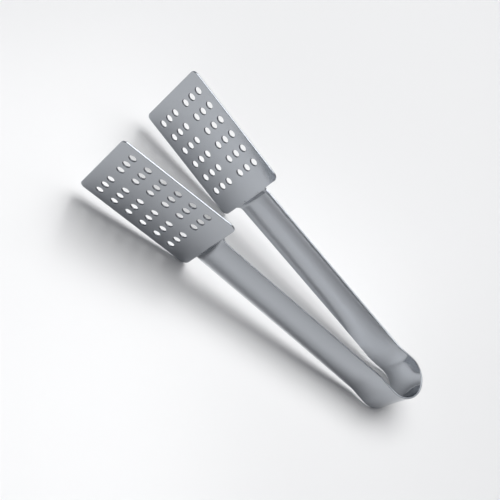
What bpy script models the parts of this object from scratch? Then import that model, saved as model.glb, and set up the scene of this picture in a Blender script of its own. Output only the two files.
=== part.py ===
"""Tea bag squeezer: spring tongs pressed from one strip of stainless steel.

The tongs lie on the long edges of their press plates. +X points from the plate tips to the bow,
+Y from the front arm to the rear arm, and +Z up. The origin is under the middle of the whole piece,
on the surface it lies on. Every zone of the strip is its own object, JOIN_GAP apart from the next.
"""

import math

import bmesh
import bpy
from mathutils import Matrix, Vector

MM = 0.001

# Strip
SHEET = 0.8 * MM
JOIN_GAP = 0.3 * MM
WELD_DISTANCE = 0.01 * MM

# Spring bow, measured on the middle of the sheet
BOW_RADIUS = 9.8 * MM
BOW_WIDTH = 20.6 * MM
BOW_STEPS = 28

# Arm from the bow to the plate: a flat leg, a bend at the neck, and the arched handle
LEG_LENGTH = 6.3 * MM
LEG_ANGLE = math.radians(5.0)
NECK_RADIUS = 13.5 * MM
HANDLE_LENGTH = 88.0 * MM
HANDLE_ANGLE = math.radians(5.2)
HANDLE_FLAT_WIDTH = 21.2 * MM

# Arch of the arm: a round section whose edges turn towards the other arm, from nothing at the bow
ARCH_EDGE_ANGLE = math.radians(23.5)
ARCH_GROWTH_POWER = 9

# Shoulder, where the arch runs out into the flat plate
RAMP_LENGTH = 2.6 * MM
SHOULDER_STEP = 0.6 * MM
SHOULDER_FILLET = 1.2 * MM

# Press plates
PLATE_LENGTH = 55.2 * MM
PLATE_WIDTH = 42.6 * MM
PLATE_ANGLE = math.radians(8.4)
TIP_CORNER_RADIUS = 2.4 * MM
SHOULDER_CORNER_RADIUS = 3.0 * MM

# Drain holes, in two groups side by side
HOLE_DIAMETER = 3.2 * MM
HOLE_PITCH = 5.5 * MM
GROUP_GAP = 9.25 * MM
ROW_PITCH = 7.3 * MM
TIP_TO_FIRST_ROW = 7.5 * MM
LEAST_SIDE_MARGIN = 5.0 * MM
LEAST_SHOULDER_MARGIN = 10.0 * MM

# How finely the round shapes are drawn
HOLE_SIDES = 12
CORNER_STEPS = 5
LEG_STEPS = 3
NECK_STEPS = 4
HANDLE_STEPS = 11
RAMP_STEPS = 9
SECTION_STEPS = 6

# Satin stainless steel
STEEL_COLOUR = (0.56, 0.57, 0.6, 1.0)
STEEL_ROUGHNESS = 0.3

FULL_TURN = math.tau
RIGHT_ANGLE = math.pi / 2


def outward(heading):
    """Unit vector square to a heading, away from the middle plane between the arms."""
    return Vector((math.sin(heading), math.cos(heading)))


def forward(heading):
    """Unit vector towards the tips, leaning away from the middle plane by the heading angle."""
    return Vector((-math.cos(heading), math.sin(heading)))


# Plan of one arm, from the centre of the bow, for the arm at +Y
BOW_END = BOW_RADIUS * outward(-LEG_ANGLE)
LEG_END = BOW_END + LEG_LENGTH * forward(-LEG_ANGLE)
NECK_CENTRE = LEG_END + NECK_RADIUS * outward(-LEG_ANGLE)
NECK_END = NECK_CENTRE - NECK_RADIUS * outward(HANDLE_ANGLE)
NECK_LENGTH = NECK_RADIUS * (LEG_ANGLE + HANDLE_ANGLE)
ARM_LENGTH = LEG_LENGTH + NECK_LENGTH + HANDLE_LENGTH
HANDLE_END = NECK_END + HANDLE_LENGTH * forward(HANDLE_ANGLE)
PLATE_START = HANDLE_END - SHOULDER_STEP * outward(HANDLE_ANGLE)
PLATE_TIP = PLATE_START + PLATE_LENGTH * forward(PLATE_ANGLE)

# Place of the bow's centre, which puts the origin under the middle of the piece
FAR_END_X = BOW_RADIUS + SHEET / 2
TIP_END_X = PLATE_TIP.x - SHEET / 2 * math.sin(PLATE_ANGLE)
BOW_CENTRE = Vector((-(FAR_END_X + TIP_END_X) / 2, 0, PLATE_WIDTH / 2))


def clear_scene():
    for obj in list(bpy.data.objects):
        bpy.data.objects.remove(obj, do_unlink=True)


def steel(name):
    material = bpy.data.materials.new(name)
    material.use_nodes = True
    shader = material.node_tree.nodes["Principled BSDF"]
    shader.inputs["Base Color"].default_value = STEEL_COLOUR
    shader.inputs["Metallic"].default_value = 1.0
    shader.inputs["Roughness"].default_value = STEEL_ROUGHNESS
    return material


def place(obj, collection, parent, location=(0, 0, 0), rotation=(0, 0, 0)):
    collection.objects.link(obj)
    obj.parent = parent
    obj.location = location
    obj.rotation_euler = rotation
    return obj


def thicken(obj):
    """Gives an open surface the thickness of the sheet, half of it on each side."""
    solid = obj.modifiers.new("Sheet thickness", "SOLIDIFY")
    solid.thickness = SHEET
    solid.offset = 0
    solid.use_even_offset = True
    obj.modifiers.new("Weighted normals", "WEIGHTED_NORMAL")


def make_bow(collection, parent):
    """The flat strip bent round in a U: an upright line turned about the bow's centre."""
    end_gap_angle = JOIN_GAP / 2 / BOW_RADIUS
    half_turn = RIGHT_ANGLE + LEG_ANGLE - end_gap_angle
    first = BOW_RADIUS * Vector((math.cos(half_turn), -math.sin(half_turn)))
    mesh = bpy.data.meshes.new("spring_bow")
    line = bmesh.new()
    top = line.verts.new((*first, BOW_WIDTH / 2))
    bottom = line.verts.new((*first, -BOW_WIDTH / 2))
    line.edges.new((top, bottom))
    line.to_mesh(mesh)
    line.free()
    mesh.materials.append(steel("bow_steel"))
    bow = place(bpy.data.objects.new("spring_bow", mesh), collection, parent)
    turn = bow.modifiers.new("Bend", "SCREW")
    turn.axis = "Z"
    turn.angle = 2 * half_turn
    turn.steps = BOW_STEPS
    turn.render_steps = BOW_STEPS
    turn.use_smooth_shade = True
    thicken(bow)


def arm_base(distance):
    """Plan point and heading on the line that the strip's edges follow, at a distance from the bow."""
    if distance <= LEG_LENGTH:
        return BOW_END + distance * forward(-LEG_ANGLE), -LEG_ANGLE
    if distance <= LEG_LENGTH + NECK_LENGTH:
        heading = (distance - LEG_LENGTH) / NECK_RADIUS - LEG_ANGLE
        return NECK_CENTRE - NECK_RADIUS * outward(heading), heading
    straight = distance - LEG_LENGTH - NECK_LENGTH
    return NECK_END + straight * forward(HANDLE_ANGLE), HANDLE_ANGLE


def half_section(half_width, edge_angle):
    """Places (across, out) from the ridge of the round arch to its edge, with the edge at out = 0."""
    radius = half_width / edge_angle
    angles = [edge_angle * k / SECTION_STEPS for k in range(SECTION_STEPS + 1)]
    return [(radius * math.sin(angle), radius * (math.cos(angle) - math.cos(edge_angle)))
            for angle in angles]


def handle_distances():
    """Distances from the bow at which the handle's sections stand."""
    neck_end = LEG_LENGTH + NECK_LENGTH
    arched = HANDLE_LENGTH - RAMP_LENGTH
    ramp = RAMP_LENGTH - JOIN_GAP
    found = [JOIN_GAP / 2]
    found += [LEG_LENGTH * k / LEG_STEPS for k in range(1, LEG_STEPS)]
    found += [LEG_LENGTH + NECK_LENGTH * k / NECK_STEPS for k in range(NECK_STEPS + 1)]
    found += [neck_end + arched * k / HANDLE_STEPS for k in range(1, HANDLE_STEPS + 1)]
    found += [neck_end + arched + ramp * k / RAMP_STEPS for k in range(1, RAMP_STEPS + 1)]
    return found


def fillet_flare(to_shoulder):
    """Extra half width that the shoulder's fillet adds at a distance from the shoulder."""
    left = max(0.0, SHOULDER_FILLET - to_shoulder)
    return SHOULDER_FILLET - math.sqrt(SHOULDER_FILLET**2 - left**2)


def handle_section(distance):
    """Plan point, heading, half width and edge angle of the strip at a distance from the bow."""
    point, heading = arm_base(distance)
    along = max(0.0, distance - LEG_LENGTH - NECK_LENGTH)
    to_shoulder = max(0.0, HANDLE_LENGTH - along)
    widened_share = along / HANDLE_LENGTH
    grown_share = 1 - (1 - distance / ARM_LENGTH) ** ARCH_GROWTH_POWER
    left_share = max(0.0, 1 - to_shoulder / RAMP_LENGTH) ** 2
    edge_angle = ARCH_EDGE_ANGLE * grown_share * (1 - left_share)
    half_width = (BOW_WIDTH + (HANDLE_FLAT_WIDTH - BOW_WIDTH) * widened_share) / 2
    point = point - SHOULDER_STEP * left_share * outward(heading)
    return point, heading, half_width + fillet_flare(to_shoulder), edge_angle


def make_handle(name, side, collection, hinge):
    """The arm between bow and plate: lofted through its sections, and mirrored about mid-height."""
    mesh = bpy.data.meshes.new(name)
    loft = bmesh.new()
    rows = []
    for distance in handle_distances():
        point, heading, half_width, edge_angle = handle_section(distance)
        row = []
        for across, out in half_section(half_width, edge_angle):
            plan = point + out * outward(heading) - BOW_END
            row.append(loft.verts.new((plan.x, side * plan.y, across)))
        rows.append(row)
    for one, other in zip(rows, rows[1:]):
        for k in range(SECTION_STEPS):
            loft.faces.new((one[k], other[k], other[k + 1], one[k + 1]))
    bmesh.ops.recalc_face_normals(loft, faces=loft.faces)
    loft.to_mesh(mesh)
    loft.free()
    mesh.shade_smooth()
    mesh.materials.append(steel(name + "_steel"))
    handle = place(bpy.data.objects.new(name, mesh), collection, hinge)
    mirror = handle.modifiers.new("Lower half", "MIRROR")
    mirror.use_axis = (False, False, True)
    mirror.merge_threshold = WELD_DISTANCE
    thicken(handle)


def plate_outline():
    """A rectangle with rounded corners, about the middle of the plate, with the tip at +X."""
    half_length, half_width = PLATE_LENGTH / 2, PLATE_WIDTH / 2
    corners = [
        (half_length, half_width, TIP_CORNER_RADIUS, 0),
        (-half_length, half_width, SHOULDER_CORNER_RADIUS, 1),
        (-half_length, -half_width, SHOULDER_CORNER_RADIUS, 2),
        (half_length, -half_width, TIP_CORNER_RADIUS, 3),
    ]
    points = []
    for x, y, radius, quarter in corners:
        centre_x = x - math.copysign(radius, x)
        centre_y = y - math.copysign(radius, y)
        for k in range(CORNER_STEPS + 1):
            angle = RIGHT_ANGLE * (quarter + k / CORNER_STEPS)
            points.append((centre_x + radius * math.cos(angle), centre_y + radius * math.sin(angle)))
    return points


def hole_centres():
    """Middles of the drain holes, in the frame of the plate outline."""
    room_across = PLATE_WIDTH / 2 - LEAST_SIDE_MARGIN - GROUP_GAP / 2
    room_along = PLATE_LENGTH - TIP_TO_FIRST_ROW - LEAST_SHOULDER_MARGIN
    centres = []
    for row in range(math.floor(room_along / ROW_PITCH) + 1):
        x = PLATE_LENGTH / 2 - TIP_TO_FIRST_ROW - row * ROW_PITCH
        for column in range(math.floor(room_across / HOLE_PITCH) + 1):
            y = GROUP_GAP / 2 + column * HOLE_PITCH
            centres += [(x, y), (x, -y)]
    return centres


def hole_outline(x, y):
    radius = HOLE_DIAMETER / 2
    angles = [FULL_TURN * k / HOLE_SIDES for k in range(HOLE_SIDES)]
    return [(x + radius * math.cos(angle), y + radius * math.sin(angle)) for angle in angles]


def make_plate(name, side, collection, hinge):
    """A flat outline with the drain holes in it, as thick as the sheet, standing on its long edge."""
    curve = bpy.data.curves.new(name, "CURVE")
    curve.dimensions = "2D"
    curve.fill_mode = "BOTH"
    curve.extrude = SHEET / 2
    for outline in [plate_outline()] + [hole_outline(*centre) for centre in hole_centres()]:
        spline = curve.splines.new("POLY")
        spline.points.add(len(outline) - 1)
        for point, (x, y) in zip(spline.points, outline):
            point.co = (x, y, 0, 1)
        spline.use_cyclic_u = True
    curve.materials.append(steel(name + "_steel"))
    middle = PLATE_START + PLATE_LENGTH / 2 * forward(PLATE_ANGLE) - BOW_END
    location = (middle.x, side * middle.y, 0)
    turn = math.pi - side * PLATE_ANGLE
    place(bpy.data.objects.new(name, curve), collection, hinge, location, (RIGHT_ANGLE, 0, turn))


def make_arm(word, side, collection, parent):
    """A handle and its plate, both carried by an empty where the flat leg meets the bow."""
    hinge = place(bpy.data.objects.new(word + "_arm_hinge", None), collection, parent)
    hinge.location = (BOW_END.x, side * BOW_END.y, 0)
    make_handle(word + "_handle", side, collection, hinge)
    make_plate(word + "_press_plate", side, collection, hinge)


def main():
    clear_scene()
    collection = bpy.data.collections.new("tea_bag_squeezer")
    bpy.context.scene.collection.children.link(collection)
    frame = place(bpy.data.objects.new("tongs_frame", None), collection, None)
    frame.matrix_world = Matrix.Translation(BOW_CENTRE)
    make_bow(collection, frame)
    make_arm("front", -1, collection, frame)
    make_arm("rear", 1, collection, frame)


main()
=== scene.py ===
"""The looks of the tea bag squeezer: one strip of satin stainless steel, cut, pressed and bent round.

Each zone of the strip starts as a flat blank with its outline, its drain holes and its rounded edges.
The forming functions then bend the blank to the shape of the tongs, so that the zones meet without a
seam. Lengths are in metres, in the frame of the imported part: +X from the plate tips to the bow, +Y from
the front arm to the rear arm, +Z up across the strip.
"""

import math

import bpy
import numpy as np
from mathutils import Matrix, Vector
from mathutils.geometry import delaunay_2d_cdt


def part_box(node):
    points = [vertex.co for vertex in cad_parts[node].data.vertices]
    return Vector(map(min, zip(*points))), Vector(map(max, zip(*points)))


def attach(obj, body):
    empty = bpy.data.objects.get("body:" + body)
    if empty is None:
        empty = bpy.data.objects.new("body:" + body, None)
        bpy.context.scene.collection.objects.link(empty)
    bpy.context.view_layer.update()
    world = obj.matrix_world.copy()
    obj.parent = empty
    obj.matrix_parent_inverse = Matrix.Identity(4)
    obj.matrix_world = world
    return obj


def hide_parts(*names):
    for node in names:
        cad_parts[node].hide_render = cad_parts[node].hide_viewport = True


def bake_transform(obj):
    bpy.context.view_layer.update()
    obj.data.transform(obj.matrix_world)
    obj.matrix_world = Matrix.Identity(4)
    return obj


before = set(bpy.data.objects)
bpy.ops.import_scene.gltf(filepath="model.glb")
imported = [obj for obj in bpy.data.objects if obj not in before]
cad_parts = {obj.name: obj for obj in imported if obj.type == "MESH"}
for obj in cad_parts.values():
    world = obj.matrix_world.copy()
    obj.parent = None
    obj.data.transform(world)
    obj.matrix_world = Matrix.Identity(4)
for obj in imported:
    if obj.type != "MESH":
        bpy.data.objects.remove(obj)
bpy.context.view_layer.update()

MM = 0.001

# Strip
SHEET = 0.8 * MM
EDGE_ROUNDING = 0.2 * MM
HOLE_ROUNDING = 0.25 * MM

# Hole walls tear below this height over the sheet's middle, where they are rougher and darkened with
# painted shade; roundings keep most of the faces' polish
TEAR_AND_SHADE_HEIGHT = 0.2 * MM
EDGE_POWER = 2

# Spring bow, measured on the middle of the sheet
BOW_RADIUS = 9.8 * MM
BOW_WIDTH = 20.6 * MM

# Arm from the bow to the plate: a flat leg, a bend at the neck, and the arched handle
LEG_LENGTH = 6.3 * MM
LEG_ANGLE = math.radians(5.0)
NECK_RADIUS = 13.5 * MM
HANDLE_LENGTH = 88.0 * MM
HANDLE_ANGLE = math.radians(5.2)
HANDLE_FLAT_WIDTH = 21.2 * MM

# Arch of the handle
ARCH_EDGE_ANGLE = math.radians(23.5)
ARCH_GROWTH_POWER = 9
BOW_EDGE_ANGLE = math.radians(-3.0)

# Shoulder, where the arch runs out into the flat plate
RAMP_LENGTH = 2.6 * MM
SHOULDER_STEP = 0.6 * MM
SHOULDER_FILLET = 1.2 * MM

# Press plates
PLATE_LENGTH = 55.2 * MM
PLATE_WIDTH = 42.6 * MM
PLATE_ANGLE = math.radians(8.4)
TIP_CORNER_RADIUS = 2.4 * MM
SHOULDER_CORNER_RADIUS = 3.0 * MM

# Drain holes
HOLE_DIAMETER = 3.2 * MM
HOLE_ROWS = 6
HOLE_COLUMNS = 3
HOLE_PITCH = 5.5 * MM
GROUP_GAP = 9.25 * MM
ROW_PITCH = 7.3 * MM
TIP_TO_FIRST_ROW = 7.5 * MM

# Finest lengths of the mesh
BOW_STEP = 0.4 * MM
NECK_STEP = 0.5 * MM
HANDLE_STEP = 1.6 * MM
RAMP_STEP = 0.2 * MM
PLATE_STEP = 1.5 * MM
ACROSS_STEPS = 28
CORNER_STEPS = 10
HOLE_SIDES = 32
ROUNDING_STEPS = 3
SLOPE_STEP = 0.01 * MM
LEAST_TRIANGLE = (0.001 * MM)**2
MERGE_DISTANCE = 1e-6 * MM
HANDLE_ROWS = 56
HANDLE_CROWDING_POWER = 1.6
UV_LENGTH = 100.0 * MM

# Places along the strip, from the crown of the bow
BOW_END_AT = BOW_RADIUS * (math.pi / 2 + LEG_ANGLE)
NECK_START_AT = BOW_END_AT + LEG_LENGTH
NECK_END_AT = NECK_START_AT + NECK_RADIUS * (LEG_ANGLE + HANDLE_ANGLE)
SHOULDER_AT = NECK_END_AT + HANDLE_LENGTH
ARCH_START_AT = BOW_END_AT
RAMP_AT = SHOULDER_AT - RAMP_LENGTH
FILLET_AT = SHOULDER_AT - SHOULDER_FILLET
TIP_AT = SHOULDER_AT + PLATE_LENGTH

# Satin steel, with noise scales in changes along and across each UV length
GRAIN_SCALE = (8.0, 420.0)
GRAIN_DETAIL = 3
GRAIN_SEED = 1
SMUDGE_SCALE = (9.0, 14.0)
SMUDGE_DETAIL = 2
SMUDGE_SEED = 2
FACE_DARK = (0.452, 0.472, 0.502, 1)
FACE_LIGHT = (0.479, 0.498, 0.528, 1)
FACE_ROUGHNESS = (0.09, 0.17)
CUT_COLOUR = (0.45, 0.476, 0.515, 1)
CUT_ROUGHNESS = 0.33
# Painted shade: the tear zone of the hole walls is darkened to stand in for the shade inside the drain
# holes
TORN_WALL_PAINTED_SHADE = (0.19, 0.2, 0.22, 1)
TORN_ROUGHNESS = 0.5
GRAIN_STRENGTH = 0.1
GRAIN_DEPTH = 0.005 * MM

# Camera, at the photograph's place
CAMERA_PLACE = Vector((-80.8, -241.7, 339.8)) * MM
CAMERA_AZIMUTH = math.radians(-17.383)
CAMERA_ELEVATION = math.radians(52.252)
CAMERA_ROLL = math.radians(58.974)
CAMERA_LENS = 70.23
CAMERA_SHIFT = (-0.0118, 0.0285)

# Floor and light
FLOOR_REACH = 1.5
FLOOR_COLOUR = (0.9, 0.9, 0.9, 1)
FLOOR_ROUGHNESS = 0.25
BACKDROP_TOP = (0.12, 0.48)
BACKDROP_BLEND = (-0.3, 0.7)
BACKDROP_NEAR = (0.15, 0.155, 0.17, 1)
BACKDROP_FAR = (0.4, 0.41, 0.44, 1)
CEILING_COLOUR = (0.03, 0.034, 0.045, 1)
KEY_DIRECTION = (-0.26, 0.23, 0.94)
KEY_DISTANCE = 1.5
KEY_WIDTH = 1.2
KEY_HEIGHT = 1.2
KEY_RADIANCE = 4.3
TOP_DIRECTION = (0.22, 0.26, 0.94)
TOP_DISTANCE = 0.9
TOP_WIDTH = 0.7
TOP_HEIGHT = 0.6
TOP_RADIANCE = 1.5
EDGE_DIRECTION = (0.08, 0.62, 0.78)
EDGE_DISTANCE = 1.5
EDGE_WIDTH = 0.42
EDGE_HEIGHT = 0.26
EDGE_RADIANCE = 3.0


def outward(heading):
    """Unit vectors square to headings, away from the middle plane between the arms."""
    return np.stack([np.sin(heading), np.cos(heading)], -1)


def forward(heading):
    """Unit vectors towards the tips, leaning away from the middle plane by the heading."""
    return np.stack([-np.cos(heading), np.sin(heading)], -1)


BOW_END = BOW_RADIUS * outward(-LEG_ANGLE)
NECK_START = BOW_END + LEG_LENGTH * forward(-LEG_ANGLE)
NECK_CENTRE = NECK_START + NECK_RADIUS * outward(-LEG_ANGLE)
NECK_END = NECK_CENTRE - NECK_RADIUS * outward(HANDLE_ANGLE)
HANDLE_END = NECK_END + HANDLE_LENGTH * forward(HANDLE_ANGLE)
PLATE_START = HANDLE_END - SHOULDER_STEP * outward(HANDLE_ANGLE)
PLATE_TIP = PLATE_START + PLATE_LENGTH * forward(PLATE_ANGLE)

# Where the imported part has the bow's centre
BOW_CENTRE_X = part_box("spring_bow")[1].x - BOW_RADIUS - SHEET / 2
MID_HEIGHT = PLATE_WIDTH / 2


def sine_share(angle):
    """The sine of an angle over the angle itself."""
    return np.sinc(angle / math.pi)


def base_line(at):
    """Plan points and headings of the line that the strip's edges follow, at places from the crown."""
    heading = np.full(at.shape, HANDLE_ANGLE)
    on_bow = at <= BOW_END_AT
    on_leg = (at > BOW_END_AT) & (at <= NECK_START_AT)
    on_neck = (at > NECK_START_AT) & (at <= NECK_END_AT)
    on_plate = at >= SHOULDER_AT
    heading[on_bow] = math.pi / 2 - at[on_bow] / BOW_RADIUS
    heading[on_leg] = -LEG_ANGLE
    heading[on_neck] = (at[on_neck] - NECK_START_AT) / NECK_RADIUS - LEG_ANGLE
    heading[on_plate] = PLATE_ANGLE
    point = NECK_END + (at - NECK_END_AT)[:, None] * forward(heading)
    point[on_bow] = BOW_RADIUS * outward(heading[on_bow])
    point[on_leg] = BOW_END + (at[on_leg] - BOW_END_AT)[:, None] * forward(heading[on_leg])
    point[on_neck] = NECK_CENTRE - NECK_RADIUS * outward(heading[on_neck])
    point[on_plate] = PLATE_START + (at[on_plate] - SHOULDER_AT)[:, None] * forward(heading[on_plate])
    return point, heading


def strip_half_width(at):
    """Half the strip's width: it widens a little to the shoulder, and flares in the shoulder's fillet."""
    along_share = np.clip((at - NECK_END_AT) / HANDLE_LENGTH, 0, 1)
    left = np.clip(at - FILLET_AT, 0, SHOULDER_FILLET)
    flare = SHOULDER_FILLET - np.sqrt(SHOULDER_FILLET**2 - left**2)
    return (BOW_WIDTH + (HANDLE_FLAT_WIDTH - BOW_WIDTH) * along_share) / 2 + flare


def arch(at, width_at):
    """Height across the strip, and place out from its edges, of points on the arched section."""
    half_width = strip_half_width(at)
    along_share = np.clip((at - ARCH_START_AT) / (SHOULDER_AT - ARCH_START_AT), 0, 1)
    ramp_left = np.clip(1 - (SHOULDER_AT - at) / RAMP_LENGTH, 0, 1)
    grown = ARCH_EDGE_ANGLE - (ARCH_EDGE_ANGLE - BOW_EDGE_ANGLE) * (1 - along_share) ** ARCH_GROWTH_POWER
    edge_angle = grown * (1 - ramp_left**2)
    on_arm = at < SHOULDER_AT
    share = np.where(on_arm, np.abs(width_at) / half_width, 0)
    across = width_at * sine_share(edge_angle * share)
    middle_angle = edge_angle * (1 + share) / 2
    out = half_width * (1 - share) * np.sin(middle_angle) * sine_share(edge_angle * (1 - share) / 2)
    return across, np.where(on_arm, out - SHOULDER_STEP * ramp_left**2, 0)


def mid_surface(at, width_at, side):
    """Points of the formed sheet's middle, for places along and across the blank."""
    point, heading = base_line(at)
    across, out = arch(at, width_at)
    plan = point + out[:, None] * outward(heading)
    return np.stack([BOW_CENTRE_X + plan[:, 0], side * plan[:, 1], MID_HEIGHT + across], -1)


def unit(vectors):
    """Vectors turned into unit length."""
    return vectors / np.linalg.norm(vectors, axis=1, keepdims=True)


def form(blank, lean, side):
    """Bends blank points (along, across, out of the middle) and their normals to the tongs' shape."""
    at, width_at, height = blank.T
    back = np.where(at >= SHOULDER_AT, SLOPE_STEP, -SLOPE_STEP)
    middle = mid_surface(at, width_at, side)
    along = unit((mid_surface(at + back, width_at, side) - middle) / back[:, None])
    across = mid_surface(at, width_at + SLOPE_STEP, side) - mid_surface(at, width_at - SLOPE_STEP, side)
    across = unit(across)
    out = unit(np.cross(along, across))
    points = middle + height[:, None] * out
    normals = lean[:, :1] * along + lean[:, 1:2] * across + lean[:, 2:] * out
    return points, unit(normals)


def arc(centre, radius, start, end, steps):
    """Points of an arc from one angle to another, in radians, without its last point."""
    angles = start + (end - start) * np.arange(steps) / steps
    return centre + radius * np.stack([np.cos(angles), np.sin(angles)], -1)


def places(start, end, step):
    """Even places from start to end, no further apart than the step."""
    return np.linspace(start, end, math.ceil((end - start) / step) + 1)


def inward_normals(loop):
    """Blank normals that point into the sheet from each point of a loop with the sheet on its left."""
    before = unit(loop - np.roll(loop, 1, 0))
    after = unit(np.roll(loop, -1, 0) - loop)
    tangent = unit(before + after)
    return np.stack([-tangent[:, 1], tangent[:, 0]], -1)


def strip_zone(rows):
    """Outline, inward normals and inner points of a stretch of the strip, cut square at both ends."""
    share = np.linspace(-1, 1, ACROSS_STEPS + 1)[1:-1]
    side = np.stack([rows, strip_half_width(rows)], -1)
    room = 1 - EDGE_ROUNDING / strip_half_width(rows)
    inner = [np.stack([np.full(share.shape, at), share * width * r], -1)
             for at, width, r in zip(rows, side[:, 1], room)]
    right = side * (1, -1)
    left = side[::-1]
    outline = np.concatenate([right, inner[-1], left, inner[0][::-1]])
    normals = np.concatenate([
        np.tile((0.0, 1.0), (len(rows), 1)), np.zeros(inner[-1].shape),
        np.tile((0.0, -1.0), (len(rows), 1)), np.zeros(inner[0].shape)])
    return outline, normals, np.concatenate(inner[1:-1])


def plate_zone():
    """Outline, inward normals and inner points of the plate, with the fillets that lead into it."""
    share = np.linspace(-1, 1, ACROSS_STEPS + 1)[1:-1]
    half = PLATE_WIDTH / 2
    quarter = math.pi / 2
    neck_half, fillet_end = strip_half_width(np.array([FILLET_AT, SHOULDER_AT]))
    fillet = arc((FILLET_AT, neck_half + SHOULDER_FILLET), SHOULDER_FILLET, -quarter, 0, CORNER_STEPS)
    shoulder = arc((SHOULDER_AT + SHOULDER_CORNER_RADIUS, half - SHOULDER_CORNER_RADIUS),
                   SHOULDER_CORNER_RADIUS, 2 * quarter, quarter, CORNER_STEPS)
    tip = arc((TIP_AT - TIP_CORNER_RADIUS, half - TIP_CORNER_RADIUS), TIP_CORNER_RADIUS,
              quarter, 0, CORNER_STEPS)
    edge = places(fillet_end, half - SHOULDER_CORNER_RADIUS, PLATE_STEP)[:-1]
    side = places(SHOULDER_AT + SHOULDER_CORNER_RADIUS, TIP_AT - TIP_CORNER_RADIUS, PLATE_STEP)[:-1]
    end = places(-(half - TIP_CORNER_RADIUS), half - TIP_CORNER_RADIUS, PLATE_STEP)[::-1]
    left = np.concatenate([
        fillet,
        np.stack([np.full(edge.shape, SHOULDER_AT), edge], -1),
        shoulder,
        np.stack([side, np.full(side.shape, half)], -1),
        tip])
    tip_end = np.stack([np.full(end.shape, TIP_AT), end], -1)
    right = left[::-1] * (1, -1)
    cut_widths = share * neck_half * (1 - EDGE_ROUNDING / neck_half)
    cut = np.stack([np.full(share.shape, FILLET_AT), cut_widths], -1)
    outline = np.concatenate([left, tip_end, right, cut])[::-1]
    normals = inward_normals(outline)
    normals[:len(cut)] = 0
    for corner in (len(cut), len(outline) - 1):
        normals[corner] = (0, math.copysign(1, -outline[corner, 1]))
    rows = FILLET_AT + places(0, SHOULDER_FILLET, RAMP_STEP)[1:]
    inner = [np.stack([np.full(share.shape, at), share * (width - 2 * EDGE_ROUNDING)], -1)
             for at, width in zip(rows, strip_half_width(rows))]
    grid_at = places(SHOULDER_AT + PLATE_STEP / 2, TIP_AT - PLATE_STEP / 2, PLATE_STEP)
    grid_width = places(-half + PLATE_STEP / 2, half - PLATE_STEP / 2, PLATE_STEP)
    inner.append(np.stack(np.meshgrid(grid_at, grid_width), -1).reshape(-1, 2))
    return outline, normals, np.concatenate(inner)


def hole_centres():
    """Places along and across the blank of all the drain holes of one plate."""
    found = []
    for row in range(HOLE_ROWS):
        at = TIP_AT - TIP_TO_FIRST_ROW - row * ROW_PITCH
        for column in range(HOLE_COLUMNS):
            width_at = GROUP_GAP / 2 + column * HOLE_PITCH
            found += [(at, width_at), (at, -width_at)]
    return np.array(found)


def inside(points, loop):
    """Which points lie inside a closed loop: those with an odd number of its edges to their right."""
    found = np.zeros(len(points), bool)
    for (x0, y0), (x1, y1) in zip(loop, np.roll(loop, -1, 0)):
        if y0 != y1:
            spans = (points[:, 1] < y0) != (points[:, 1] < y1)
            crossing = x0 + (points[:, 1] - y0) / (y1 - y0) * (x1 - x0)
            found ^= spans & (points[:, 0] < crossing)
    return found


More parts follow.
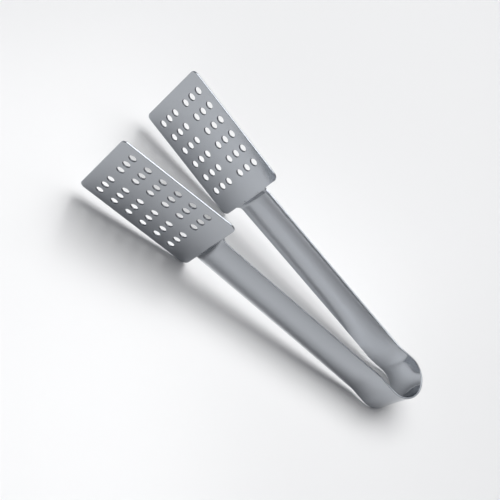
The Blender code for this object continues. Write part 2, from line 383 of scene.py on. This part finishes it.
def cut_blank(outline, normals, inner, holes):
    """A closed sheet in blank coordinates, with its free edges rounded.

    Gives its vertices, normals and faces, and each vertex's share of a cut edge and of a wall's tear zone,
    where painted shade darkens the holes.
    """
    loops = [(outline, normals, EDGE_ROUNDING)]
    for centre in holes:
        turns = arc(centre, HOLE_DIAMETER / 2, 0, -2 * math.pi, HOLE_SIDES)
        loops.append((turns, unit(turns - centre), HOLE_ROUNDING))
    inset = np.concatenate([loop + rounding * inward for loop, inward, rounding in loops])
    clear = np.ones(len(inner), bool)
    for point in inset:
        clear &= np.linalg.norm(inner - point, axis=1) > EDGE_ROUNDING
    for centre in holes:
        clear &= np.linalg.norm(inner - centre, axis=1) > HOLE_DIAMETER / 2 + HOLE_ROUNDING + EDGE_ROUNDING
    inner = inner[clear]
    edges, first = [], 0
    for loop, _, _ in loops:
        numbers = first + np.arange(len(loop))
        edges += list(zip(numbers.tolist(), np.roll(numbers, -1).tolist()))
        first += len(loop)
    flat = np.concatenate([inset, inner])
    found = delaunay_2d_cdt([Vector(p) for p in flat], edges, [], 0, MERGE_DISTANCE, True)
    if len(found[0]) != len(flat):
        raise ValueError(f"the blank has {len(flat)} points, and its triangles {len(found[0])}")
    order = [ids[0] for ids in found[3]]
    triangles = np.array([[order[v] for v in face] for face in found[2]])
    middles = flat[triangles].mean(1)
    one, other = flat[triangles[:, 1:]].swapaxes(0, 1) - flat[triangles[:, 0]]
    area = (one[:, 0] * other[:, 1] - one[:, 1] * other[:, 0]) / 2
    kept = inside(middles, inset[:len(outline)]) & (area > LEAST_TRIANGLE)
    for loop, inward, rounding in loops[1:]:
        kept &= ~inside(middles, loop + rounding * inward)
    triangles = triangles[kept]
    top_height = np.full((len(flat), 1), SHEET / 2)
    up = np.tile((0.0, 0.0, 1.0), (len(flat), 1))
    vertices = [np.hstack([flat, top_height]), np.hstack([flat, -top_height])]
    leans = [up, -up]
    kinds = [np.zeros((2 * len(flat), 2))]
    faces = triangles.tolist() + (triangles[:, ::-1] + len(flat)).tolist()
    rounding = [math.pi / 2 * k / ROUNDING_STEPS for k in range(1, ROUNDING_STEPS + 1)]
    rings = [(turn, 1) for turn in rounding] + [(turn, -1) for turn in reversed(rounding)]
    total = 2 * len(flat)
    first = 0
    for loop, inward, round_by in loops:
        count = len(loop)
        levels = [first + np.arange(count)]
        for turn, sign in rings:
            inset_by = round_by * (1 - math.sin(turn))
            height = sign * (SHEET / 2 - round_by * (1 - math.cos(turn)))
            ring = np.hstack([loop + inset_by * inward, np.full((count, 1), height)])
            vertices.append(ring)
            lean = np.hstack([-inward * math.sin(turn), np.full((count, 1), sign * math.cos(turn))])
            lean[(inward == 0).all(1)] = (0, 0, sign)
            leans.append(lean)
            punched = float(round_by == HOLE_ROUNDING)
            # The tear share marks the hole walls' rougher tear zone and their painted shade
            depth = np.array([(1 - punched) * turn / (math.pi / 2), punched * (height < TEAR_AND_SHADE_HEIGHT)])
            kinds.append(np.tile(depth**EDGE_POWER, (count, 1)))
            levels.append(total + np.arange(count))
            total += count
        levels.append(len(flat) + first + np.arange(count))
        for upper, lower in zip(levels, levels[1:]):
            for k in range(count):
                after = (k + 1) % count
                faces.append([upper[after], upper[k], lower[k], lower[after]])
        first += count
    faces = [[int(v) for v in face] for face in faces]
    return np.concatenate(vertices), np.concatenate(leans), faces, np.concatenate(kinds)


def press(name, zone, side, material, holes=()):
    """One closed piece of the formed strip, cut from a blank and bent to shape."""
    blank, lean, faces, kinds = cut_blank(*zone, holes)
    points, normals = form(blank, lean, side)
    mesh = bpy.data.meshes.new(name)
    mesh.from_pydata(points.tolist(), [], faces)
    mesh.shade_smooth()
    mesh.normals_split_custom_set_from_vertices(normals.tolist())
    for kind, values in zip(("cut_edge", "torn_wall_and_painted_shade"), kinds.T):
        mesh.attributes.new(kind, "FLOAT", "POINT").data.foreach_set("value", values.ravel())
    layer = mesh.uv_layers.new(name="blank")
    corners = np.array([vertex for face in faces for vertex in face])
    layer.data.foreach_set("uv", (blank[corners, :2] / UV_LENGTH).ravel())
    mesh.materials.append(material)
    piece = bpy.data.objects.new(name, mesh)
    bpy.context.scene.collection.objects.link(piece)
    return piece


def between(nodes, links, share, low, high):
    """A number that runs from low to high with a share of 0 to 1."""
    span = nodes.new("ShaderNodeMapRange")
    span.inputs["To Min"].default_value, span.inputs["To Max"].default_value = low, high
    links.new(share, span.inputs["Value"])
    return span.outputs["Result"]


def mixed(nodes, links, share, base, other):
    """A colour or number socket turned towards another by a share; either may be a plain value."""
    mix = nodes.new("ShaderNodeMix")
    mix.data_type = "RGBA" if isinstance(other, tuple) else "FLOAT"
    links.new(share, mix.inputs["Factor"])
    for name, value in (("A", base), ("B", other)):
        if isinstance(value, bpy.types.NodeSocket):
            links.new(value, mix.inputs[name])
        else:
            mix.inputs[name].default_value = value
    return mix.outputs["Result"]


def streaks(nodes, links, scale, detail, seed):
    """Noise in blank coordinates, from 0 to 1; scale gives its changes along and across, per UV length."""
    place = nodes.new("ShaderNodeUVMap")
    place.uv_map = "blank"
    stretch = nodes.new("ShaderNodeMapping")
    stretch.inputs["Scale"].default_value = (*scale, 1)
    stretch.inputs["Location"].default_value = (seed, seed, 0)
    noise = nodes.new("ShaderNodeTexNoise")
    noise.inputs["Scale"].default_value = 1.0
    noise.inputs["Detail"].default_value = detail
    links.new(place.outputs["UV"], stretch.inputs["Vector"])
    links.new(stretch.outputs["Vector"], noise.inputs["Vector"])
    return noise.outputs["Fac"]


def satin_steel():
    """Polished strip with fine lengthwise lines, soft smudges, rougher cut edges, and hole walls that are
    rougher where they tear and darkened there with painted shade.
    """
    material = bpy.data.materials.new("satin_steel")
    material.use_nodes = True
    nodes, links = material.node_tree.nodes, material.node_tree.links
    shader = nodes["Principled BSDF"]
    shader.inputs["Metallic"].default_value = 1.0
    grain = streaks(nodes, links, GRAIN_SCALE, GRAIN_DETAIL, GRAIN_SEED)
    smudge = streaks(nodes, links, SMUDGE_SCALE, SMUDGE_DETAIL, SMUDGE_SEED)
    cut = nodes.new("ShaderNodeAttribute")
    cut.attribute_name = "cut_edge"
    tear_and_shade = nodes.new("ShaderNodeAttribute")
    tear_and_shade.attribute_name = "torn_wall_and_painted_shade"
    colour = mixed(nodes, links, grain, FACE_DARK, FACE_LIGHT)
    colour = mixed(nodes, links, cut.outputs["Fac"], colour, CUT_COLOUR)
    # Painted shade: the tear zone of the hole walls is darkened to stand in for the shade in the drain
    # holes
    colour = mixed(nodes, links, tear_and_shade.outputs["Fac"], colour, TORN_WALL_PAINTED_SHADE)
    links.new(colour, shader.inputs["Base Color"])
    rough = between(nodes, links, smudge, *FACE_ROUGHNESS)
    rough = mixed(nodes, links, cut.outputs["Fac"], rough, CUT_ROUGHNESS)
    rough = mixed(nodes, links, tear_and_shade.outputs["Fac"], rough, TORN_ROUGHNESS)
    links.new(rough, shader.inputs["Roughness"])
    bump = nodes.new("ShaderNodeBump")
    bump.inputs["Strength"].default_value = GRAIN_STRENGTH
    bump.inputs["Distance"].default_value = GRAIN_DEPTH
    links.new(grain, bump.inputs["Height"])
    links.new(bump.outputs["Normal"], shader.inputs["Normal"])
    return material


def make_arm(word, side, steel):
    """One arm with its half of the bow; the rows of the handle crowd towards the neck."""
    crowded = np.linspace(0, 1, HANDLE_ROWS) ** HANDLE_CROWDING_POWER
    bow_rows = places(0, BOW_END_AT, BOW_STEP)
    handle_rows = np.concatenate([
        places(BOW_END_AT, NECK_START_AT, HANDLE_STEP)[:-1],
        places(NECK_START_AT, NECK_END_AT, NECK_STEP)[:-1],
        NECK_END_AT + (RAMP_AT - NECK_END_AT) * crowded[:-1],
        places(RAMP_AT, FILLET_AT, RAMP_STEP)])
    bow = press(word + "_bow_half", strip_zone(bow_rows), side, steel)
    handle = press(word + "_handle_skin", strip_zone(handle_rows), side, steel)
    plate = press(word + "_plate_skin", plate_zone(), side, steel, hole_centres())
    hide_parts("spring_bow")
    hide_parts(word + "_handle")
    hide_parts(word + "_press_plate")
    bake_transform(bow)
    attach(handle, word + "_arm")
    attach(plate, word + "_arm")


def make_camera():
    """The photograph's camera, from the place and angles fitted to the drain holes."""
    camera = bpy.data.objects.new("camera", bpy.data.cameras.new("camera"))
    bpy.context.scene.collection.objects.link(camera)
    level = math.cos(CAMERA_ELEVATION)
    back = Vector((math.sin(CAMERA_AZIMUTH) * level, -math.cos(CAMERA_AZIMUTH) * level,
                   math.sin(CAMERA_ELEVATION)))
    aim = (-back).to_track_quat("-Z", "Y").to_matrix().to_4x4()
    camera.matrix_world = Matrix.Translation(CAMERA_PLACE) @ aim @ Matrix.Rotation(CAMERA_ROLL, 4, "Z")
    camera.data.lens = CAMERA_LENS
    camera.data.shift_x, camera.data.shift_y = CAMERA_SHIFT
    bpy.context.scene.camera = camera


def make_floor():
    """A plain pale floor, tipped as the tongs tip when they lie on plates and bow."""
    corners = [(-FLOOR_REACH, -FLOOR_REACH, 0), (FLOOR_REACH, -FLOOR_REACH, 0),
               (FLOOR_REACH, FLOOR_REACH, 0), (-FLOOR_REACH, FLOOR_REACH, 0)]
    mesh = bpy.data.meshes.new("floor")
    mesh.from_pydata(corners, [], [(0, 1, 2, 3)])
    floor = bpy.data.objects.new("floor", mesh)
    bpy.context.scene.collection.objects.link(floor)
    material = bpy.data.materials.new("floor")
    material.use_nodes = True
    shader = material.node_tree.nodes["Principled BSDF"]
    shader.inputs["Base Color"].default_value = FLOOR_COLOUR
    shader.inputs["Roughness"].default_value = FLOOR_ROUGHNESS
    mesh.materials.append(material)
    shoulder_x = BOW_CENTRE_X + float(PLATE_START[0])
    lean = math.atan2(MID_HEIGHT - BOW_WIDTH / 2, BOW_CENTRE_X + BOW_RADIUS - shoulder_x)
    floor.rotation_euler = (0, -lean, 0)
    floor.location = (shoulder_x, 0, 0)


def blend_by(nodes, links, value, bounds, low, high):
    """A colour that turns smoothly from low to high as a value passes between two bounds."""
    share = nodes.new("ShaderNodeMapRange")
    share.interpolation_type = "SMOOTHSTEP"
    share.inputs["From Min"].default_value, share.inputs["From Max"].default_value = bounds
    links.new(value, share.inputs["Value"])
    return mixed(nodes, links, share.outputs["Result"], low, high)


def make_softbox(name, direction, distance, width, height, radiance):
    """A soft lamp at a distance from the tongs' middle, facing it."""
    lamp = bpy.data.lights.new(name, "AREA")
    lamp.shape = "RECTANGLE"
    lamp.size, lamp.size_y = width, height
    lamp.energy = radiance * math.pi * width * height
    box = bpy.data.objects.new(name, lamp)
    bpy.context.scene.collection.objects.link(box)
    aim = Vector(direction).normalized()
    box.location = Vector((0, 0, MID_HEIGHT)) + distance * aim
    box.rotation_euler = aim.to_track_quat("Z", "Y").to_euler()


def make_lights():
    """A dark ceiling over a backdrop that is lighter behind the tongs, and three softboxes."""
    world = bpy.data.worlds.new("studio")
    world.use_nodes = True
    nodes, links = world.node_tree.nodes, world.node_tree.links
    place = nodes.new("ShaderNodeTexCoord")
    axes = nodes.new("ShaderNodeSeparateXYZ")
    links.new(place.outputs["Generated"], axes.inputs[0])
    backdrop = blend_by(nodes, links, axes.outputs["Y"], BACKDROP_BLEND, BACKDROP_NEAR, BACKDROP_FAR)
    room = blend_by(nodes, links, axes.outputs["Z"], BACKDROP_TOP, backdrop, CEILING_COLOUR)
    links.new(room, nodes["Background"].inputs["Color"])
    bpy.context.scene.world = world
    make_softbox("key", KEY_DIRECTION, KEY_DISTANCE, KEY_WIDTH, KEY_HEIGHT, KEY_RADIANCE)
    make_softbox("top", TOP_DIRECTION, TOP_DISTANCE, TOP_WIDTH, TOP_HEIGHT, TOP_RADIANCE)
    make_softbox("edge", EDGE_DIRECTION, EDGE_DISTANCE, EDGE_WIDTH, EDGE_HEIGHT, EDGE_RADIANCE)


make_camera()
steel = satin_steel()
make_arm("front", -1, steel)
make_arm("rear", 1, steel)
make_floor()
make_lights()
bpy.context.scene.view_settings.view_transform = "Standard"
